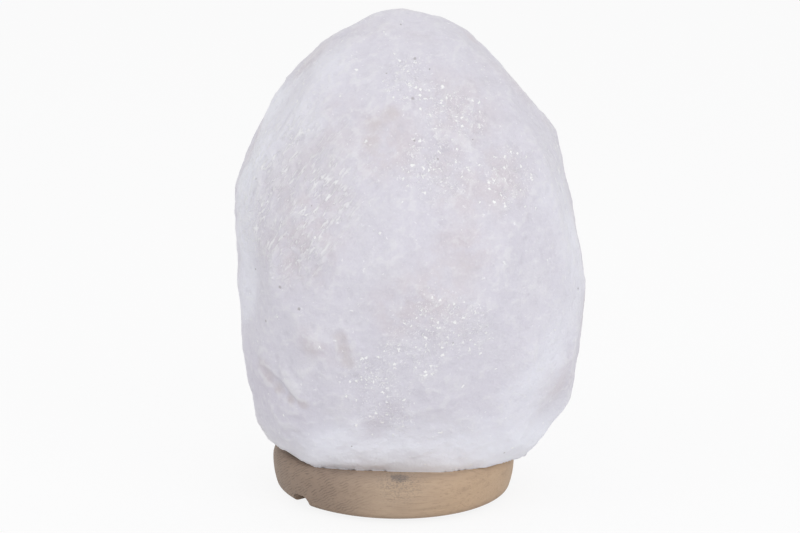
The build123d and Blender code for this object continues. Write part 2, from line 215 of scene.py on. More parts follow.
def outlineVerts(bm, points):    # radius and height in millimetres, from the holder's axis
    verts = [bm.verts.new((axisX + x * mm, axisY, z * mm)) for x, z in points]
    edges = [bm.edges.new(pair) for pair in zip(verts, verts[1:])]
    return verts, edges


def spun(points, steps=64, closed=True):
    bm = bmesh.new()
    verts, edges = outlineVerts(bm, points)
    if closed:
        edges.append(bm.edges.new((verts[-1], verts[0])))
    bmesh.ops.spin(bm, geom=verts + edges, cent=(axisX, axisY, 0), axis=(0, 0, 1),
                   angle=2 * pi, steps=steps, use_merge=True)
    bmesh.ops.remove_doubles(bm, verts=bm.verts[:], dist=1e-7)
    bmesh.ops.recalc_face_normals(bm, faces=bm.faces[:])
    return bm


def rounded(points, radii, steps=4):    # an outline's corners rounded, each by its own radius
    result = []
    count = len(points)
    for index, (x, z) in enumerate(points):
        radius = radii.get(index, 0) if isinstance(radii, dict) else radii
        if not radius:
            result.append((x, z))
            continue
        corner = Vector((x, z))
        before = (Vector(points[index - 1]) - corner).normalized()
        after = (Vector(points[(index + 1) % count]) - corner).normalized()
        half = before.angle(after) / 2
        reach = radius * cos(half) / sin(half)
        start, end = corner + before * reach, corner + after * reach
        for step in range(steps + 1):
            share = step / steps
            first, last = start.lerp(corner, share), corner.lerp(end, share)
            result.append(tuple(first.lerp(last, share)))
    return result


def threaded(crest, root, pitch, low, high, steps):    # a helical thread, open ends
    bm = bmesh.new()
    flat = 0.12 * pitch
    shape = [(root, -pitch / 2), (root, -pitch / 2 + flat), (crest, -flat / 2), (crest, flat / 2),
             (root, pitch / 2 - flat), (root, pitch / 2)]
    turns = int((high - low) / pitch) + 3
    verts, edges = outlineVerts(bm, [(x, low - pitch + z) for x, z in shape])
    bmesh.ops.spin(bm, geom=verts + edges, cent=(axisX, axisY, 0), axis=(0, 0, 1), angle=2 * pi * turns,
                   steps=steps * turns, dvec=(0, 0, pitch * mm / steps), use_merge=False)
    bmesh.ops.remove_doubles(bm, verts=bm.verts[:], dist=2e-6)
    for height, side in ((low, -1), (high, 1)):    # the thread is cut off flat at both ends
        geom = bm.verts[:] + bm.edges[:] + bm.faces[:]
        bmesh.ops.bisect_plane(bm, geom=geom, dist=1e-7, plane_co=(0, 0, height * mm),
                               plane_no=(0, 0, side), clear_outer=True)
    bmesh.ops.recalc_face_normals(bm, faces=bm.faces[:])
    return bm


def rod(x, y, radius, low, high, segments):    # upright, sizes in millimetres, place in metres
    bm = bmesh.new()
    bmesh.ops.create_cone(bm, cap_ends=True, segments=segments, radius1=radius * mm, radius2=radius * mm,
                          depth=(high - low) * mm, matrix=Matrix.Translation((x, y, (low + high) / 2 * mm)))
    return bm


def eased(bm, edges, width, segments):
    bmesh.ops.bevel(bm, geom=edges, offset=width, offset_type="OFFSET", segments=segments,
                    profile=0.5, affect="EDGES", material=-1)


def absorb(bm, other):    # adds another bmesh's shape, and frees it
    mesh = meshOf(other, "part")
    bm.from_mesh(mesh)
    bpy.data.meshes.remove(mesh)


def cutterObject(bm, name):
    return shown(name, meshOf(bm, name))


def carved(mesh, cutters, operation="DIFFERENCE", useSelf=False):    # booleans, one after another
    def carve(helper):
        for cutter in cutters:
            modifier = helper.modifiers.new("carve", "BOOLEAN")
            modifier.operation = operation
            modifier.solver = "EXACT"
            modifier.use_self = useSelf
            modifier.object = cutter
        return cutters

    return evaluated(mesh, carve)


def cadCopy(name):    # a merged copy of a CAD node's mesh
    bm = bmesh.new()
    bm.from_mesh(nodes[name].data)
    bmesh.ops.remove_doubles(bm, verts=bm.verts[:], dist=1e-6)
    return bm


def fromAxis(at):
    return hypot(at.x - axisX, at.y - axisY)


def onRing(ring, direction):    # a place round the axis, by millimetres and degrees
    return (axisX + ring * mm * cos(radians(direction)), axisY + ring * mm * sin(radians(direction)))


def smoothStep(low, high, value):
    share = min(max((value - low) / (high - low), 0.0), 1.0)
    return share * share * (3 - 2 * share)


# salt crystal: colours, and where its zones lie (metres, in the lamp's frame)
salt = {
    "voxel": 1.35 * mm, "soften": 12, "foot": 22.0 * mm, "boreRadius": 21.0 * mm, "boreTop": 139 * mm,
    "boreWall": 4 * mm, "boreRoof": 20 * mm, "boreStraight": 128 * mm, "boreSnap": 0.9 * mm, "rim": 0.3 * mm,
    "wave": 0.9 * mm, "lump": 0.5 * mm, "scallop": 0.9 * mm, "scallopSize": 8.5 * mm, "chip": 0.28 * mm,
    "seed": 1, "streak": 0.35 * mm, "streakLean": 35, "cornerLift": 4.5 * mm, "lip": 2.2 * mm,
    "frosty": (0.672, 0.654, 0.724), "clear": (0.640, 0.597, 0.644), "tan": (0.520, 0.450, 0.430),
    "mauve": (0.500, 0.450, 0.510), "edge": (0.770, 0.765, 0.790), "foam": (0.85, 0.86, 0.93),
    "glint": (0.98, 0.98, 0.99), "shade": (0.560, 0.540, 0.600), "speck": (0.24, 0.21, 0.20),
    "pink": (0.590, 0.550, 0.640),
    "clearSpots": [    # where the block looks deep and faintly pink: centre, radius and strength
        ((-0.0120, -0.0600, 0.1850), 0.017, 1.0), ((-0.0440, -0.0512, 0.1830), 0.020, 0.7),
        ((-0.0521, -0.0640, 0.1500), 0.022, 0.9), ((-0.0480, -0.0660, 0.1330), 0.013, 1.0),
        ((0.0083, -0.0761, 0.1154), 0.018, 1.0), ((-0.0050, -0.0750, 0.1080), 0.012, 0.8),
        ((0.0230, -0.0720, 0.1380), 0.013, 1.0), ((0.0225, -0.0490, 0.2010), 0.020, 0.8),
        ((0.0397, -0.0588, 0.1690), 0.016, 1.0), ((0.0236, -0.0660, 0.1640), 0.014, 0.9),
        ((-0.0100, -0.0580, 0.1890), 0.015, 0.9),
        ((0.0721, -0.0365, 0.0664), 0.015, 0.8), ((0.0640, -0.0430, 0.0500), 0.012, 0.6),
        ((0.0120, -0.0580, 0.1790), 0.012, 0.8), ((-0.0450, -0.0660, 0.0900), 0.009, 0.7),
    ],
    "tanSpots": [    # stained creases: centre, radius and strength
        ((-0.0325, -0.0707, 0.0950), 0.0030, 0.35), ((-0.0311, -0.0700, 0.0891), 0.0034, 0.40),
        ((-0.0292, -0.0686, 0.0829), 0.0034, 0.35), ((-0.0705, -0.0459, 0.0736), 0.0040, 0.28),
        ((-0.0676, -0.0468, 0.0680), 0.0034, 0.40), ((-0.0627, -0.0495, 0.0635), 0.0028, 0.48),
        ((-0.0568, -0.0534, 0.0600), 0.0026, 0.50), ((-0.0505, -0.0562, 0.0583), 0.0028, 0.40),
        ((-0.0110, -0.0536, 0.1981), 0.0036, 0.35), ((-0.0179, -0.0559, 0.1933), 0.0040, 0.30),
        ((-0.0200, -0.0595, 0.1850), 0.0038, 0.28), ((-0.0460, -0.0640, 0.0890), 0.0050, 0.22),
        ((0.0250, -0.0690, 0.1290), 0.0060, 0.20),
    ],
    "mauveSpots": [((-0.0160, -0.0590, 0.0480), 0.0060, 0.55), ((-0.0165, -0.0560, 0.0405), 0.0058, 0.55),
                   ((-0.0090, -0.0600, 0.0580), 0.0060, 0.30), ((0.0080, -0.0560, 0.0400), 0.0090, 0.20)],
    "pinkSpots": [((-0.0540, -0.0600, 0.0500), 0.011, 0.5), ((-0.0750, -0.0380, 0.0600), 0.016, 0.4)],
    "paleSpots": [((-0.0578, -0.0545, 0.0728), 0.0021, 0.5), ((-0.0562, -0.0557, 0.0690), 0.0027, 0.7),
                  ((-0.0543, -0.0560, 0.0648), 0.0024, 0.7), ((-0.0530, -0.0560, 0.0622), 0.0016, 0.7)],
    "frostSpots": [((-0.0700, -0.0150, 0.1950), 0.016, 0.75), ((-0.0760, -0.0300, 0.1720), 0.014, 0.70),
                   ((-0.0810, -0.0300, 0.1540), 0.013, 0.65), ((-0.0820, -0.0360, 0.1300), 0.014, 0.65),
                   ((-0.0820, -0.0340, 0.1080), 0.013, 0.60), ((-0.0420, -0.0300, 0.2150), 0.014, 0.40),
                   ((-0.0530, -0.0420, 0.1900), 0.014, 0.50), ((0.0720, -0.0300, 0.1500), 0.020, 0.40),
                   ((0.0780, -0.0300, 0.1250), 0.018, 0.45), ((0.0700, -0.0430, 0.0950), 0.016, 0.35),
                   ((0.0620, -0.0480, 0.0780), 0.014, 0.50), ((0.0560, -0.0500, 0.0600), 0.014, 0.45)],
    "glintSpots": [    # sparkling breaks: centre and radius
        ((0.0110, -0.0750, 0.1050), 0.014), ((0.0230, -0.0740, 0.1020), 0.012),
        ((0.0010, -0.0720, 0.0890), 0.013), ((-0.0020, -0.0450, 0.2130), 0.011),
        ((0.0180, -0.0500, 0.1990), 0.014), ((0.0450, -0.0560, 0.1700), 0.014),
        ((-0.0190, -0.0670, 0.0760), 0.012), ((0.0100, -0.0620, 0.1740), 0.015),
        ((-0.0110, -0.0620, 0.0600), 0.012),
    ],
    # streaks along the cleavage, up to the right on the left shoulder and down to the right on the other
    "streakSpots": [((-0.057, -0.050, 0.160), 0.040, 35), ((0.0700, -0.0262, 0.1640), 0.017, -22)],
    "specks": [((-0.0614, -0.0612, 0.1165), 0.00065), ((-0.0523, -0.0657, 0.1073), 0.0007),
               ((-0.0689, -0.0512, 0.0973), 0.0008), ((0.0076, -0.0594, 0.1823), 0.0006),
               ((0.0109, -0.0598, 0.1782), 0.0005), ((-0.0010, -0.0486, 0.2044), 0.0008),
               ((-0.0004, -0.0344, 0.2209), 0.0008), ((0.0190, -0.0560, 0.0365), 0.0006)],
}


def makeSaltLook():
    look = Look("saltCrystal", subsurfaceWeight=0.25, subsurfaceRadius=(1.0, 0.95, 1.0),
                subsurfaceScale=0.009, ior=1.54, specularLevel=0.5)
    at = look.place()
    near = look.moved(at, 45, 0.030, 4)
    closer = look.moved(at, 260, 0.0035, 3)
    hollow = look.node("ShaderNodeAttribute", {"attribute_name": "hollow"}, {}, 2)
    # zones: frost, clear depths, stains
    behind = look.span(look.axis(at, 1), -0.030, 0.000)
    uneven = look.span(look.noise(at, 95, 4, 0.6), 0.38, 0.58, 0.25, 1.0)
    clear = look.span(look.noise(at, 28, 4, 0.55), 0.48, 0.62) * behind
    for centre, radius, strength in salt["clearSpots"]:
        clear = clear.most(look.ball(near, centre, radius, radius * 1.4) * uneven * strength)
    cloud = look.noise(at, 75, 5, 0.62)
    colour = look.mix(clear, salt["frosty"], salt["clear"])
    colour = look.mix(look.span(cloud, 0.42, 0.72) * 0.26 * (1 - clear * 0.6), colour, salt["edge"])
    colour = look.mix(look.span(look.noise(at, 150, 4, 0.6), 0.50, 0.30) * 0.22, colour, salt["shade"])
    zones = (("pinkSpots", "pink", near), ("frostSpots", "foam", near), ("mauveSpots", "mauve", closer),
             ("tanSpots", "tan", closer), ("paleSpots", "edge", closer))
    for spots, tint, place in zones:
        for centre, radius, strength in salt[spots]:
            colour = look.mix(look.ball(place, centre, radius, radius * 1.3) * strength, colour, salt[tint])
    # ridges lighter, and painted shade in the hollows
    colour = look.mix(look.span(hollow, -0.10, -0.55) * 0.40, colour, salt["edge"])
    colour = look.mix(look.span(hollow, 0.12, 0.70) * 0.24, colour, salt["shade"])
    grain = look.noise(at, 900, 3, 0.6)
    colour = look.mix(look.span(grain, 0.48, 0.72) * 0.22, colour, salt["edge"])
    colour = look.mix(look.span(grain, 0.50, 0.30) * 0.14, colour, salt["shade"])
    # painted light: the band near the salt's lower edge brightened towards the pale colour, making up for its
    # shade
    low = look.span(look.axis(at, 2) + cloud * 0.012, 0.046, 0.030)
    colour = look.mix(low * 0.55, colour, salt["edge"])
    # painted light: the lower left front, whose faces turn down, brightened towards foam white
    foot = look.span(look.axis(at, 2) + cloud * 0.014, 0.068, 0.042)
    foot = foot * look.span(look.axis(at, 0) + cloud * 0.010, -0.058, -0.030)
    colour = look.mix(foot * 0.80, colour, salt["foam"])
    # dark specks of earth
    crumbly = look.moved(at, 900, 0.001)
    speck = look.flakes(crumbly, 150, 0.09, 0.10)
    for centre, radius in salt["specks"]:
        speck = speck.most(look.ball(crumbly, centre, radius, radius))
    colour = look.mix(speck * 0.55, colour, salt["speck"])
    # glints painted into the colour as highlights: thick on the sparkling breaks, a few all over
    rough = look.moved(at, 620, 0.0034, 2)
    broken = look.span(look.noise(at, 30, 2), 0.52, 0.64) * behind * 0.5
    for centre, radius in salt["glintSpots"]:
        broken = broken.most(look.ball(near, centre, radius, radius * 1.2))
    glint = look.flakes(rough, 400, 0.34, broken * 0.42 + 0.002)
    cracked = look.moved(at, 500, 0.003)
    bent = look.span(look.noise(cracked, 620, 2, 0.5, 1.2), 0.60, 0.68) * broken
    glint = glint.most(bent * 0.75)
    fine = look.flakes(rough, 900, 0.42, broken * 0.26 + 0.009) * 0.45
    below = look.vector("ADD", cracked, (0.0009, 0.0, -0.0008))    # the shade beside each glint
    beside = look.span(look.noise(below, 620, 2, 0.5, 1.2), 0.58, 0.66) * broken
    colour = look.mix(beside * 0.55, colour, salt["shade"])
    colour = look.mix(glint.most(fine) * 0.92, colour, salt["glint"])
    left, right = [look.streaks(*spot) for spot in salt["streakSpots"]]
    streak = left.most(right)
    colour = look.mix(streak * 0.75, colour, salt["edge"])
    # painted highlight: the streaks' brightest cores in glint white
    colour = look.mix(streak.maths("POWER", streak, 3.0) * 0.30, colour, salt["glint"])
    # surface: soft frost, wetter in the clear zones
    gloss = look.span(cloud, 0.3, 0.7, 0.44, 0.60) - clear * 0.10 - glint * 0.30
    soft = look.noise(at, 240, 4, 0.62)
    facets = look.cells(closer, 190, 0, "SMOOTH_F1")
    height = soft * 0.55 + facets * 0.40 + grain * 0.20 + glint * 0.35 + streak * 0.35
    look.set(baseColor=colour, roughness=gloss, normal=look.bump(height, 0.0016, 0.6))
    return look


def saltMesh():
    noise.seed_set(salt["seed"])    # without it noise_vector follows the clock, and each run differs
    source = meshOf(cadCopy("salt_crystal"), "saltSource")
    low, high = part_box("salt_crystal")

    def remesh(helper):
        modifier = helper.modifiers.new("remesh", "REMESH")
        modifier.mode = "VOXEL"
        modifier.voxel_size = salt["voxel"]

    mesh = evaluated(source, remesh)
    bm = bmesh.new()
    bm.from_mesh(mesh)
    wall, roof = salt["boreRadius"] + salt["boreWall"], salt["boreTop"] + salt["boreRoof"]
    outer = [v for v in bm.verts if v.co.z > salt["foot"] + salt["rim"]
             and (fromAxis(v.co) > wall or v.co.z > roof)]
    start = {v: v.co.copy() for v in outer}
    for turn in range(salt["soften"]):
        bmesh.ops.smooth_vert(bm, verts=outer, factor=0.5, use_axis_x=True, use_axis_y=True, use_axis_z=True)
    bm.normal_update()
    pushes = {v: v.normal * saltPush(v.co) for v in outer}
    for vert in outer:    # the foot's edge keeps the CAD outline
        calm = smoothStep(salt["foot"], salt["foot"] + 5 * mm, start[vert].z)
        vert.co = start[vert].lerp(vert.co + pushes[vert], calm)
    for vert in bm.verts:    # the bore stays round and the foot flat, apart from its lifted corner
        at = vert.co
        radius = fromAxis(at)
        if at.z < salt["boreStraight"] and abs(radius - salt["boreRadius"]) < salt["boreSnap"]:
            grow = salt["boreRadius"] / radius
            at.x, at.y = axisX + (at.x - axisX) * grow, axisY + (at.y - axisY) * grow
        if at.z < salt["foot"] + 0.5 * mm:
            at.z = salt["foot"]
        corner = smoothStep(-0.044, -0.066, at.x) * smoothStep(0.010, -0.015, at.y)
        at.z += salt["cornerLift"] * corner * smoothStep(0.040, 0.023, at.z)
        lip = smoothStep(-0.056, -0.042, at.x) * smoothStep(-0.008, -0.028, at.x)
        at.y -= salt["lip"] * lip * smoothStep(-0.024, -0.040, at.y) * smoothStep(0.038, 0.025, at.z)
        for side in range(3):
            at[side] = min(max(at[side], low[side]), high[side])
    sawn = [v for v in bm.verts if v.co.z < salt["foot"] + 0.05 * mm and fromAxis(v.co) > wall]
    for vert in sawn:    # a crisp edge round the sawn foot
        above = max((edge.other_vert(vert).co for edge in vert.link_edges), key=lambda co: co.z)
        if above.z > salt["foot"] + salt["rim"]:
            vert.co.x, vert.co.y = above.x, above.y
    bm.normal_update()
    markHollows(bm)
    return meshOf(bm, "saltBlock")


def saltPush(at):    # how far the chipped surface stands out
    push = salt["wave"] * noise.noise(at * 42)
    push += salt["lump"] * noise.noise(at * 105 + Vector((7, 3, 1)))
    bent = at + noise.noise_vector(at * 150) * 0.002
    near = noise.voronoi(bent / salt["scallopSize"])[0][0]
    deep = 0.35 + 0.65 * smoothStep(-0.25, 0.35, noise.noise(at * 30))
    push += salt["scallop"] * (near * near - 0.28) * deep
    push += salt["chip"] * (0.5 - 2 * abs(noise.noise(at * 230 + Vector((2, 9, 4)))))
    lean = Matrix.Rotation(radians(-salt["streakLean"]), 3, "Y") @ at
    streaky = smoothStep(-0.020, -0.045, at.x) * smoothStep(0.105, 0.135, at.z)
    streaky *= smoothStep(0.010, -0.020, at.y)
    push += salt["streak"] * streaky * noise.noise(Vector((lean.x * 330, lean.y * 330, lean.z * 70)))
    return push - hollowDepth(at)


def markHollows(bm):    # how far each place lies below its surroundings, in tenths of a millimetre
    layer = bm.verts.layers.float.new("hollow")
    depth = {}
    for vert in bm.verts:
        around = [edge.other_vert(vert).co for edge in vert.link_edges]
        middle = sum(around, Vector()) / len(around)
        depth[vert] = (middle - vert.co).dot(vert.normal) / (0.1 * mm)
    for vert in bm.verts:
        around = [depth[edge.other_vert(vert)] for edge in vert.link_edges]
        vert[layer] = (depth[vert] + sum(around)) / (1 + len(around))


hollows = [    # centre and half sizes across and along, in x and z, lean from upright, and depth
    ((-0.0085, 0.1800), (0.0150, 0.0170), 0, 1.8), ((0.0040, 0.1950), (0.0160, 0.0060), 80, 0.7),
    ((-0.0562, 0.0692), (0.0034, 0.0085), -28, -1.7), ((-0.0620, 0.0652), (0.0030, 0.0130), -50, 1.3),
    ((-0.0308, 0.0890), (0.0028, 0.0110), -14, 0.5), ((-0.0148, 0.0470), (0.0075, 0.0090), 0, 0.9),
    ((0.0130, 0.1000), (0.0170, 0.0120), 0, 0.9), ((-0.0480, 0.0420), (0.0040, 0.0200), 70, 0.6),
    ((0.0600, 0.0500), (0.0060, 0.0180), -40, 0.9), ((-0.0830, 0.1090), (0.0140, 0.0230), 0, 2.0),
]


def hollowDepth(at):    # the front's own hollows and the raised shell beside the crease, in metres
    front = smoothStep(0.018, -0.020, at.y)
    total = 0.0
    for (x, z), (across, along), lean, depth in hollows:
        gapX, gapZ = at.x - x, at.z - z
        side = gapX * cos(radians(lean)) - gapZ * sin(radians(lean))
        length = gapX * sin(radians(lean)) + gapZ * cos(radians(lean))
        away = (side / across) ** 2 + (length / along) ** 2
        total += depth * mm * exp(-away * away)
    return total * front


saltPiece = givePiece(saltMesh(), "saltBlock", "lamp", "salt", "salt_crystal", angle=55, look=makeSaltLook())
print("salt crystal made,", len(saltPiece.data.polygons), "faces")

# wooden base
wood = {
    "radius": 60.0, "bottom": 2.0, "top": 22.0, "hole": 23.0, "shoulder": 6.0, "flank": 40.0, "edge": 3.0,
    "grooveDirection": 220, "grooveWidth": 12.0, "grooveHeight": 5.0, "grooveCorner": 4.0,
    "grooveLength": 72.0, "screwRing": 35.0, "screwDirections": (310, 130), "screwHole": 2.45,
    "counterbore": 5.25, "counterboreTop": 7.0,
    "light": (0.560, 0.430, 0.305), "middle": (0.480, 0.358, 0.262), "dark": (0.300, 0.212, 0.150),
    "grey": (0.300, 0.222, 0.172), "line": (0.150, 0.112, 0.088), "honey": (0.620, 0.430, 0.270),
    "knot": (0.165, 0.150, 0.140), "knotPlace": (-0.0043, -0.0545, 0.0222), "lean": 8,
}


def makeWoodLook():
    look = Look("turnedWood", specularLevel=0.3, coatWeight=0.05, coatRoughness=0.4)
    at = look.place()
    side = look.axis(at, 0)
    # growth rings cut flat, so they run as long faint bands, and fine fibre along them
    heart = look.place(move=(0.030, 0.020, -0.150), turn=(radians(4), radians(86), radians(12)))
    rings = look.waves(heart, 95, 3.2, 3)
    lean = (0, 0, radians(wood["lean"]))
    fibre = look.noise(look.place(turn=lean, stretch=(22, 1.4, 1)), 1500, 3, 0.6)
    band = look.noise(look.place(turn=lean, stretch=(9, 2, 1)), 210, 4, 0.6)
    broad = look.noise(look.place(stretch=(3, 1.5, 1)), 55, 3, 0.55)
    colour = look.mix(look.span(rings, 0.15, 0.95) * 0.22, wood["middle"], wood["light"])
    colour = look.mix(look.span(broad, 0.40, 0.68) * 0.40, colour, wood["light"])
    # the right side lighter and yellower: partly the wood's own tone, partly painted light from the right
    colour = look.mix(look.span(side + broad * 0.030, 0.000, 0.050) * 0.55, colour, wood["honey"])
    colour = look.mix(look.span(band, 0.50, 0.70) * 0.28, colour, wood["dark"])
    colour = look.mix(look.span(fibre, 0.52, 0.72) * 0.40, colour, wood["dark"])
    colour = look.mix(look.span(fibre, 0.46, 0.28) * 0.25, colour, wood["light"])
    # pores: short dark dashes along the grain
    dash = look.cells(look.place(turn=lean, stretch=(5, 1, 1)), 1150)
    pore = look.span(dash, 0.05, 0.22, 1.0, 0.0) * look.span(look.noise(at, 170, 2), 0.42, 0.60)
    colour = look.mix(pore * 0.60, colour, wood["dark"])
    # knot with its speckled surround, at the top edge
    near = look.moved(at, 700, 0.0030)
    knot = look.ball(near, wood["knotPlace"], 0.0042, 0.0030)
    speckled = look.span(look.noise(look.place(stretch=(1.6, 1, 1)), 1500, 2, 0.6), 0.48, 0.62)
    around = look.ball(near, wood["knotPlace"], 0.0110, 0.0130)
    colour = look.mix(around * speckled * 0.50, colour, wood["knot"])
    colour = look.mix(knot * (0.55 + speckled * 0.4), colour, wood["knot"])
    # end grain on the left, with painted shade: greyer and darker, with curved lines that climb to the right
    endGrainAndShade = look.span(side + look.noise(at, 60, 2) * 0.012, -0.004, -0.036)
    across = look.place(turn=(0, radians(33), radians(135)))
    curved = look.waves(across, 250, 6.0, 3, "BANDS", "bands_direction")
    lines = look.span(curved, 0.50, 0.95) * look.span(look.noise(at, 260, 4, 0.6), 0.40, 0.60)
    colour = look.mix(endGrainAndShade * 0.85, colour, wood["grey"])
    colour = look.mix(endGrainAndShade * lines * 0.60, colour, wood["line"])
    # painted shade: darker towards the lower edge and in the groove
    low = look.span(look.axis(at, 2) + look.noise(at, 110, 3) * 0.002, 0.0030, 0.0075, 1.0, 0.0)
    colour = look.mix(low * 0.48, colour, wood["dark"])
    height = fibre * 0.6 - pore * 0.7 + rings * 0.2 - knot * 0.5 - endGrainAndShade * lines * 0.4
    colour = look.mix(0.12, colour, wood["line"])
    look.set(baseColor=colour, roughness=look.span(fibre, 0.3, 0.8, 0.55, 0.72),
             normal=look.bump(height, 0.0005, 0.6))
    return look


def baseOutline():
    w = wood
    widest = w["top"] - w["shoulder"]
    flankX = w["radius"] - w["flank"]
    edgeZ = w["bottom"] + w["edge"]
    slant = -asin((widest - edgeZ) / (w["flank"] - w["edge"]))
    edgeX = flankX + (w["flank"] - w["edge"]) * cos(slant)
    points = [(w["hole"], w["top"] - 0.4), (w["hole"], w["bottom"] + 0.5), (w["hole"] + 0.5, w["bottom"])]
    for step in range(9):
        a = -pi / 2 + (slant + pi / 2) * step / 8
        points.append((edgeX + w["edge"] * cos(a), edgeZ + w["edge"] * sin(a)))
    for step in range(1, 11):
        a = slant * (1 - step / 10)
        points.append((flankX + w["flank"] * cos(a), widest + w["flank"] * sin(a)))
    shoulderX = w["radius"] - w["shoulder"]
    for step in range(1, 13):
        a = pi / 2 * step / 12
        points.append((shoulderX + w["shoulder"] * cos(a), widest + w["shoulder"] * sin(a)))
    points.append((w["hole"] + 0.4, w["top"]))
    return points


def woodCutters():
    w = wood
    length = w["grooveLength"]
    block = Matrix.Diagonal((length, w["grooveWidth"], w["grooveHeight"] * 2, 1))
    bm = bmesh.new()
    bmesh.ops.create_cube(bm, size=1, matrix=Matrix.Translation((length / 2, 0, 0)) @ block)
    along = [e for e in bm.edges if abs(e.verts[0].co.x - e.verts[1].co.x) > length / 2]
    eased(bm, along, w["grooveCorner"], 6)
    place = Matrix.Translation((axisX, axisY, w["bottom"] * mm))
    turn = Matrix.Rotation(radians(w["grooveDirection"]), 4, "Z") @ Matrix.Scale(mm, 4)
    bmesh.ops.transform(bm, matrix=place @ turn, verts=bm.verts[:])
    cutters = [cutterObject(bm, "grooveCutter")]
    for direction in w["screwDirections"]:
        for radius, low, high in ((w["counterbore"], -3, w["counterboreTop"]), (w["screwHole"], 3, 30)):
            bore = rod(*onRing(w["screwRing"], direction), radius, low, high, 40)
            cutters.append(cutterObject(bore, "screwCutter"))
    return cutters


woodMesh = carved(meshOf(spun(baseOutline(), 160), "baseBlank"), woodCutters())
givePiece(woodMesh, "turnedBase", "lamp", "wood", "wood_base", angle=40, look=makeWoodLook())
print("wooden base made")


# plain finishes for the fittings
def metalLook(name, colour, rough, worn, brushed=(1, 1, 1)):
    look = Look(name, metallic=1.0)
    at = look.place(stretch=brushed)
    lines = look.noise(at, 1400, 3, 0.6)
    patina = look.noise(look.place(), 240, 4, 0.6)
    tint = look.mix(look.span(patina, 0.45, 0.75) * 0.5, colour, worn)
    look.set(baseColor=tint, roughness=look.span(patina, 0.3, 0.7, rough, rough + 0.15),
             normal=look.bump(lines, 0.00008, 0.35))
    return look


def plasticLook(name, colour, rough, fine=1600):
    look = Look(name, specularLevel=0.45)
    at = look.place()
    skin = look.noise(at, fine, 3, 0.6)
    dust = look.noise(at, 190, 4, 0.6)
    pale = tuple(min(1.0, c * 1.25 + 0.012) for c in colour)
    look.set(baseColor=look.mix(look.span(dust, 0.45, 0.75) * 0.5, colour, pale),
             roughness=look.span(dust, 0.3, 0.7, rough, rough + 0.12), normal=look.bump(skin, 0.0001, 0.4))
    return look


def glassLook(name, colour, alpha, rough):
    look = Look(name, transmissionWeight=1.0, ior=1.5)
    at = look.place()
    film = look.noise(at, 160, 3, 0.5)
    look.set(baseColor=look.mix(look.span(film, 0.4, 0.8) * 0.3, colour, (0.86, 0.88, 0.88)),
             roughness=look.span(film, 0.3, 0.8, rough, rough + 0.04),
             alpha=alpha, normal=look.bump(film, 0.0002, 0.15))
    return look


looks = {
    "steel": metalLook("screwSteel", (0.62, 0.61, 0.58), 0.30, (0.45, 0.43, 0.40)),
    "zinc_steel": metalLook("zincPlate", (0.66, 0.66, 0.62), 0.26, (0.52, 0.51, 0.44)),
    "spring_steel": metalLook("springSteel", (0.52, 0.53, 0.55), 0.24, (0.36, 0.36, 0.38), (1, 14, 1)),
    "brass": metalLook("brassBar", (0.78, 0.58, 0.28), 0.25, (0.55, 0.38, 0.18)),
    "sleeve_brass": metalLook("sleeveSheet", (0.74, 0.58, 0.32), 0.22, (0.52, 0.38, 0.20)),
    "solder": metalLook("solderTin", (0.62, 0.63, 0.65), 0.34, (0.42, 0.42, 0.44)),
    "cap_metal": metalLook("capSheet", (0.76, 0.75, 0.70), 0.20, (0.58, 0.56, 0.50)),
    "wire_nickel": metalLook("wireNickel", (0.60, 0.57, 0.53), 0.25, (0.44, 0.41, 0.38)),
    "tungsten": metalLook("filamentWire", (0.30, 0.30, 0.32), 0.35, (0.20, 0.20, 0.22)),
    "rubber": plasticLook("footRubber", (0.028, 0.027, 0.026), 0.62, 2400),
    "grey_plastic": plasticLook("plugPlastic", (0.36, 0.37, 0.38), 0.45),
    "black_plastic": plasticLook("holderPlastic", (0.030, 0.030, 0.031), 0.32, 1100),
    "core_plastic": plasticLook("corePlastic", (0.58, 0.56, 0.50), 0.42),
    "clear_glass": glassLook("bulbGlass", (0.97, 0.98, 0.98), 1.0, 0.0),
    "stem_glass": glassLook("stemGlass", (0.90, 0.93, 0.92), 1.0, 0.05),
    "black_glass": plasticLook("blackGlass", (0.012, 0.012, 0.016), 0.10, 700),
}
print("finishes made")


# feet
feet = {"radius": 7.0, "height": 2.0, "ring": 42.0, "directions": (265, 355, 85, 175), "edge": 0.5}


def feetMesh():
    bm = bmesh.new()
    for direction in feet["directions"]:
        foot = rod(*onRing(feet["ring"], direction), feet["radius"], 0, feet["height"], 48)
        under = min((f for f in foot.faces if abs(f.normal.z) > 0.9), key=lambda f: f.calc_center_median().z)
        eased(foot, list(under.edges), feet["edge"] * mm, 3)
        absorb(bm, foot)
    return meshOf(bm, "rubberFeet")


givePiece(feetMesh(), "rubberFeet", "lamp", "rubber", "rubber_feet")


# screws in the base: pan heads with a cross recess, on a threaded shank
screws = {"head": 4.5, "headBottom": 4.0, "seat": 7.0, "crest": 2.25, "root": 1.6, "pitch": 2.2,
          "threadTop": 42.0, "tip": 47.0, "recess": 2.6, "recessWidth": 0.95, "recessDepth": 1.4}


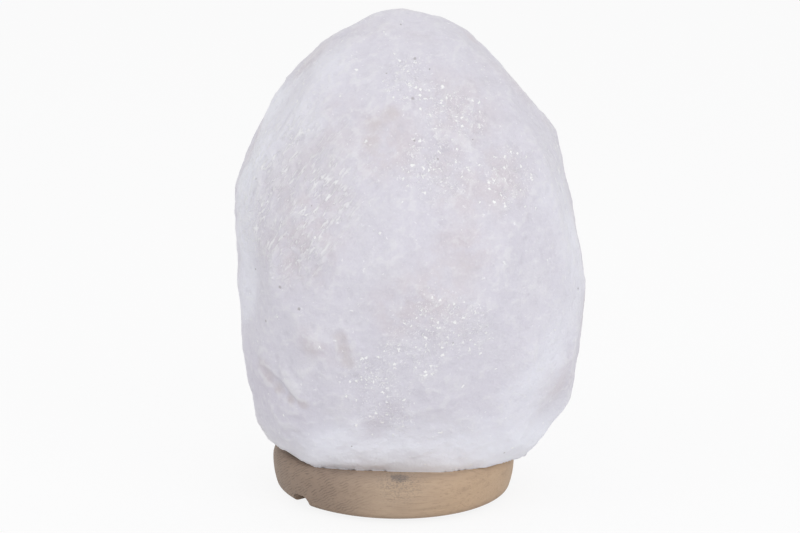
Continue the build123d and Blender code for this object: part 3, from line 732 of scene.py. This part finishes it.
def screwMesh():
    s = screws
    headLow, seat, root, threadTop = s["headBottom"], s["seat"], s["root"], s["threadTop"]
    head = rounded([(0, headLow), (s["head"], headLow), (s["head"], seat), (0, seat)], {1: 1.3, 2: 0.3})
    whole, recesses = bmesh.new(), bmesh.new()
    size = Matrix.Diagonal((s["recess"] * 2 * mm, s["recessWidth"] * mm, s["recessDepth"] * 2 * mm, 1))
    ring = wood["screwRing"] * mm
    for direction in wood["screwDirections"]:
        away = Vector((ring * cos(radians(direction)), ring * sin(radians(direction)), 0))
        bm = spun(head, 48, closed=False)    # pan head, then shank and point
        bmesh.ops.holes_fill(bm, edges=[e for e in bm.edges if e.is_boundary])
        absorb(bm, threaded(s["crest"], root, s["pitch"], seat - 0.2, threadTop, 24))
        point = [(root, threadTop), (root * 0.55, threadTop + 3), (0.05, s["tip"] - 0.1)]
        absorb(bm, spun(point, 24, closed=False))
        bmesh.ops.translate(bm, vec=away, verts=bm.verts[:])
        absorb(whole, bm)
        place = Matrix.Translation(Vector((axisX, axisY, headLow * mm)) + away)
        for turn in (0, 90):
            bar = Matrix.Rotation(radians(turn), 4, "Z") @ size
            bmesh.ops.create_cube(recesses, size=1, matrix=place @ bar)
    return carved(meshOf(whole, "screwBlank"), [cutterObject(recesses, "recessCutter")], useSelf=True)


givePiece(screwMesh(), "baseScrews", "lamp", "steel", "base_screws")


# lampholder shells: ribbed grips on a round body
holder = {"radius": 13.5, "ribOut": 0.40, "ribs": 36, "split": 18.0, "gripTop": 32.0, "neck": 9.5,
          "top": 49.0, "inner": 12.5, "step": 31.55, "throat": 7.95, "capBottom": 8.6, "capHole": 5.1,
          "capFloor": 6.0, "capInner": 10.95, "spigot": 12.4, "spigotTop": 24.0}


def ribbed(bm, low, high, spare):    # pushes every other strip of the grip out into a rib
    count = holder["ribs"]
    for vert in bm.verts:
        x, y, radius = vert.co.x - axisX, vert.co.y - axisY, fromAxis(vert.co)
        if radius > (holder["radius"] - 0.3) * mm and low * mm <= vert.co.z <= high * mm:
            angle = Vector((x, y)).angle_signed(Vector((1, 0)), 0.0)
            wave = max(0.0, cos(angle * count)) ** 0.5
            z = vert.co.z / mm
            fade = smoothStep(low, low + spare, z) * smoothStep(high, high - spare, z)
            grow = 1 + holder["ribOut"] * mm * wave * fade / radius
            vert.co.x, vert.co.y = axisX + x * grow, axisY + y * grow


def gripRows(points, shares):    # extra rows on the grip carry the ribs
    full = []
    for index, (x, z) in enumerate(points):
        full.append((x, z))
        nextX, nextZ = points[(index + 1) % len(points)]
        if abs(x - holder["radius"]) < 0.01 and abs(nextX - holder["radius"]) < 0.01:
            full += [(holder["radius"], z + (nextZ - z) * share) for share in shares]
    return full


def barrelMesh():
    h = holder
    points = rounded([
        (h["inner"], h["split"] + 0.05), (h["radius"], h["split"] + 0.05), (h["radius"], h["gripTop"]),
        (h["neck"], h["gripTop"] + 0.9), (h["neck"], h["top"]), (h["throat"], h["top"]),
        (h["throat"], h["step"]), (h["inner"], h["step"])], {1: 0.4, 2: 1.2, 3: 0.8, 4: 0.4, 5: 0.4})
    bm = spun(gripRows(points, (0.06, 0.12, 0.5, 0.88, 0.94)), 216)
    ribbed(bm, h["split"] + 0.6, h["gripTop"] - 1.4, 1.0)
    return meshOf(bm, "holderBarrel")


def capMesh():
    h = holder
    low = h["capBottom"]
    points = rounded([
        (h["capHole"], low), (h["radius"] - 1.6, low), (h["radius"], low + 1.9), (h["radius"], h["split"]),
        (h["spigot"], h["split"]), (h["spigot"], h["spigotTop"]), (h["capInner"], h["spigotTop"]),
        (h["capInner"], low + h["capFloor"]), (h["capHole"], low + h["capFloor"])], {1: 1.0, 2: 1.0, 3: 0.4})
    bm = spun(gripRows(points, (0.1, 0.2, 0.5, 0.8, 0.9)), 216)
    ribbed(bm, low + 2.6, h["split"] - 0.5, 1.0)
    return meshOf(bm, "holderCap")


givePiece(barrelMesh(), "holderBarrel", "holder", "black_plastic", "holder_barrel")
givePiece(capMesh(), "holderCap", "holder", "black_plastic", "holder_cap")


# threaded inlet tube, its nut and the clip
inlet = {"crest": 5.0, "root": 4.55, "bore": 3.5, "low": 3.0, "high": 16.0, "pitch": 1.0,
         "nutLow": 4.0, "nutHigh": 7.0, "nutHole": 5.1, "flats": 14.0, "chamfer": 1.2}


def inletMesh():
    s = inlet
    low, high, bore, outside = s["low"], s["high"], s["bore"], s["root"] + 0.05
    bm = threaded(s["crest"], s["root"], s["pitch"], low + 0.4, high - 0.4, 32)
    absorb(bm, spun(rounded([(bore, low), (outside, low), (outside, high), (bore, high)], 0.15, 2), 64))
    return meshOf(bm, "cordInlet")


def nutMesh():
    low, high = inlet["nutLow"], inlet["nutHigh"]
    outer = inlet["flats"] / 2 / cos(pi / 6)
    blank = meshOf(rod(axisX, axisY, outer, low, high, 6), "nutBlank")
    face, belly, chamfer, spare = 6.7, 8.9, inlet["chamfer"], 0.001
    cone = spun([(spare, low - spare), (face, low - spare), (belly, low + chamfer), (belly, high - chamfer),
                 (face, high + spare), (spare, high + spare)], 72)
    chamfered = carved(blank, [cutterObject(cone, "nutCone")], "INTERSECT")
    hole = rod(axisX, axisY, inlet["nutHole"], low - 2.5, high + 2.5, 64)
    return carved(chamfered, [cutterObject(hole, "nutHole")])


def softened(name, width):    # a CAD node's copy with its edges eased
    mesh = meshOf(cadCopy(name), name + "Copy")

    def ease(helper):
        modifier = helper.modifiers.new("ease", "BEVEL")
        modifier.width = width * mm
        modifier.segments = 2
        modifier.limit_method = "ANGLE"
        modifier.angle_limit = radians(40)
        modifier.harden_normals = False

    return evaluated(mesh, ease)


givePiece(inletMesh(), "cordInlet", "holder", "zinc_steel", "cord_nipple")
givePiece(nutMesh(), "clipNut", "holder", "zinc_steel", "clip_nut")
clip, washer = softened("spring_clip", 0.15), softened("lock_washer", 0.12)
givePiece(clip, "springClip", "holder", "spring_steel", "spring_clip")
givePiece(washer, "lockWasher", "holder", "zinc_steel", "lock_washer")
print("lampholder made")


# bulb
bulb = {"tipBottom": 34.8, "insulatorBottom": 36.4, "capBottom": 39.4, "capTop": 55.4, "crest": 6.9,
        "root": 6.35, "pitch": 2.822, "glassTop": 92.75, "glass": 13.0, "neck": 6.1, "wall": 0.6,
        "domeBottom": 79.6, "turns": 110, "coil": 0.19, "filamentWire": 0.045, "hookWire": 0.12,
        "leadWire": 0.28}


def bulbGlassMesh():
    b = bulb
    dome = b["domeBottom"]
    outer = [(b["neck"], 50.6), (b["neck"], 56.0), (6.9, 59.2), (8.9, 63.4), (11.2, 67.6), (12.6, 71.2),
             (b["glass"], 75.5), (b["glass"], dome)]
    for step in range(1, 12):
        a = pi / 2 * step / 12
        outer.append((b["glass"] * cos(a), dome + (b["glassTop"] - dome) * sin(a)))
    outer.append((0.0, b["glassTop"]))
    bm = spun(outer, 72, closed=False)
    mesh = meshOf(bm, "bulbSkin")

    def thicken(helper):
        rounder = helper.modifiers.new("rounder", "SUBSURF")
        rounder.levels = rounder.render_levels = 1
        wall = helper.modifiers.new("wall", "SOLIDIFY")
        wall.thickness = b["wall"] * mm
        wall.offset = -1

    return evaluated(mesh, thicken)


def bulbCapMesh():
    b = bulb
    crest, root, low, high = b["crest"], b["root"], b["capBottom"], b["capTop"] - 0.1
    bm = threaded(crest, root, b["pitch"], low + 1.2, low + 12.2, 48)
    collar = [(root + 0.05, low + 12.0), (crest - 0.05, low + 12.6), (crest - 0.05, high), (6.25, high),
              (6.25, low + 12.0)]
    skirt = [(root + 0.02, low + 1.4), (root - 0.2, low + 0.4), (5.6, low), (4.8, low), (4.8, low + 0.4),
             (root - 0.45, low + 1.4)]
    absorb(bm, spun(rounded(collar, 0.15, 2), 64))
    absorb(bm, spun(skirt, 64))
    return meshOf(bm, "bulbCap")


def wireAlong(points, radius, name, steps):    # a round wire through its points, given in millimetres
    curve = bpy.data.curves.new(name, "CURVE")
    curve.dimensions = "3D"
    curve.bevel_depth = radius * mm
    curve.bevel_resolution = steps
    curve.use_fill_caps = True
    curve.resolution_u = 6
    spline = curve.splines.new("NURBS")
    spline.points.add(len(points) - 1)
    for point, (x, y, z) in zip(spline.points, points):
        point.co = (axisX + x * mm, axisY + y * mm, z * mm, 1)
    spline.order_u = 3
    spline.use_endpoint_u = True
    helper = shown(name, curve)
    mesh = bpy.data.meshes.new_from_object(helper.evaluated_get(bpy.context.evaluated_depsgraph_get()))
    bpy.data.objects.remove(helper)
    return mesh


def bothSides(points, radius, name, steps):    # a wire and its twin, half a turn round the axis
    bm = bmesh.new()
    for side in (-1, 1):
        mesh = wireAlong([(side * x, side * y, z) for x, y, z in points], radius, "wire", steps)
        bm.from_mesh(mesh)
        bpy.data.meshes.remove(mesh)
    return meshOf(bm, name)


def filamentMesh():
    curve = []
    steps = 8
    path = [(-6.5, 80.0), (-3.2, 83.0), (0, 80.4), (3.2, 83.0), (6.5, 80.0)]
    for index in range(bulb["turns"] * steps + 1):
        share = index / (bulb["turns"] * steps) * (len(path) - 1)
        part = min(int(share), len(path) - 2)
        x, z = Vector(path[part]).lerp(Vector(path[part + 1]), share - part)
        a = 2 * pi * index / steps
        curve.append((x, bulb["coil"] * cos(a), z + bulb["coil"] * sin(a)))
    return wireAlong(curve, bulb["filamentWire"], "filamentCoil", 0)


def stemMesh():
    outline = [(0.001, 50.45), (5.1, 50.45), (4.6, 52.0), (2.6, 55.0), (2.2, 62.0), (2.5, 66.0), (2.3, 70.3),
               (0.001, 70.3)]
    return meshOf(spun(rounded(outline, {1: 0.3, 2: 0.8, 3: 1.5, 4: 2.0, 5: 1.5, 6: 0.8}), 48), "bulbStem")


def tipMesh():
    low = bulb["insulatorBottom"]
    outline = [(0.001, low), (2.25, low), (2.25, 35.7), (1.9, 35.2), (1.2, 34.92), (0.001, bulb["tipBottom"])]
    return meshOf(spun(outline, 40), "solderTip")


def beadMesh():
    low, high = bulb["insulatorBottom"], bulb["capBottom"]
    outline = [(0.001, low), (3.2, low), (6.2, high - 0.3), (6.2, high), (0.001, high)]
    return meshOf(spun(rounded(outline, {1: 0.5, 2: 0.6}), 56), "capBead")


hook = [(0, 1.1, 70.5), (0, 1.1, 78.0), (1.6, 1.0, 81.4), (2.6, 0.2, 82.3), (3.0, -0.2, 82.2)]
lead = [(1.5, 0, 70.2), (1.5, 0, 73.2), (4.0, 0, 76.4), (6.4, 0, 79.0), (6.5, 0, 80.1)]
supportsMesh = bothSides(hook, bulb["hookWire"], "filamentHooks", 2)
leadsMesh = bothSides(lead, bulb["leadWire"], "leadWires", 3)
givePiece(bulbGlassMesh(), "bulbEnvelope", "bulb", "clear_glass", "bulb_glass", angle=60)
givePiece(bulbCapMesh(), "bulbCap", "bulb", "cap_metal", "bulb_cap")
givePiece(stemMesh(), "bulbStem", "bulb", "stem_glass", "glass_stem", angle=60)
givePiece(tipMesh(), "solderTip", "bulb_tip", "solder", "bulb_contact")
givePiece(beadMesh(), "capBead", "bulb", "black_glass", "cap_insulator")
givePiece(filamentMesh(), "filamentCoil", "bulb", "tungsten", "filament")
givePiece(supportsMesh, "filamentHooks", "bulb", "wire_nickel", "filament_supports")
givePiece(leadsMesh, "leadWires", "bulb", "wire_nickel", "lead_wires")
print("bulb made")

# the CAD nodes that stay get their finishes
kept = {"screw_plugs": "grey_plastic", "holder_core": "core_plastic", "terminal_blocks": "brass",
        "terminal_screws": "steel", "thread_sleeve": "sleeve_brass", "centre_contact": "brass"}
for name, slotName in kept.items():
    nodes[name].data.materials.clear()
    nodes[name].data.materials.append(looks[slotName].material)

# stage: floor, world, lamps, camera
stage = {
    "floor": (0.86, 0.86, 0.87), "floorSize": 6, "floorGlow": 0.87, "white": (1, 1, 1), "world": 0.72,
    "lamps": {    # place, width and power
        "keyLamp": ((0.9, -0.9, 1.0), 0.9, 3.0), "fillLamp": ((-1.0, -0.6, 1.1), 1.0, 2.8),
        "lowLamp": ((0.40, -1.25, 0.20), 0.38, 2.4), "topLamp": ((0.0, 0.3, 1.4), 1.0, 1.0),
    },
    "lampAim": (0, 0, 0.11), "target": (-0.0057, -0.00125, 0.11255), "eye": (-0.0057, -1.15125, 0.396),
    "lens": 108.81, "roll": 0.017, "nearest": 0.02,
}


def facing(place, target):    # turned so that a lamp or camera looks at the target
    return (Vector(target) - Vector(place)).to_track_quat("-Z", "Y")


def makeFloor():
    bm = bmesh.new()
    bmesh.ops.create_grid(bm, x_segments=1, y_segments=1, size=stage["floorSize"])
    floor = shown("floor", meshOf(bm, "floor"))
    look = Look("paleFloor", baseColor=rgba(stage["floor"]), roughness=0.9)
    glow = look.node("ShaderNodeEmission", {}, {"Color": rgba(stage["white"])})
    share = look.seenDirectly() * stage["floorGlow"]
    look.surface("Material Output", share, Sock(look, look.shader.outputs[0]), glow)
    floor.data.materials.append(look.material)


def makeWorld():
    world = bpy.data.worlds.new("studio")
    bpy.context.scene.world = world
    world.use_nodes = True
    studio = Graph(world.node_tree)
    soft = studio.tree.nodes["Background"]
    studio.feed(soft.inputs["Color"], rgba(stage["white"]))
    studio.feed(soft.inputs["Strength"], stage["world"])
    white = studio.node("ShaderNodeBackground", {}, {"Color": rgba(stage["white"]), "Strength": 1.0})
    studio.surface("World Output", studio.seenDirectly(), Sock(studio, soft.outputs[0]), white)


def makeLamp(name, place, size, power):
    light = bpy.data.lights.new(name, "AREA")
    light.shape = "DISK"
    light.size = size
    light.energy = power
    lamp = shown(name, light)
    lamp.location = place
    lamp.rotation_euler = facing(place, stage["lampAim"]).to_euler()


def makeCamera():
    camera = shown("camera", bpy.data.cameras.new("camera"))
    turn = facing(stage["eye"], stage["target"]).to_matrix() @ Matrix.Rotation(stage["roll"], 3, "Z")
    camera.matrix_world = Matrix.Translation(stage["eye"]) @ turn.to_4x4()
    camera.data.lens = stage["lens"]
    camera.data.sensor_width = 36
    camera.data.clip_start = stage["nearest"]
    bpy.context.scene.camera = camera


makeFloor()
makeWorld()
for name, (place, size, power) in stage["lamps"].items():
    makeLamp(name, place, size, power)
makeCamera()
bpy.context.scene.view_settings.view_transform = "Standard"
print("stage made")
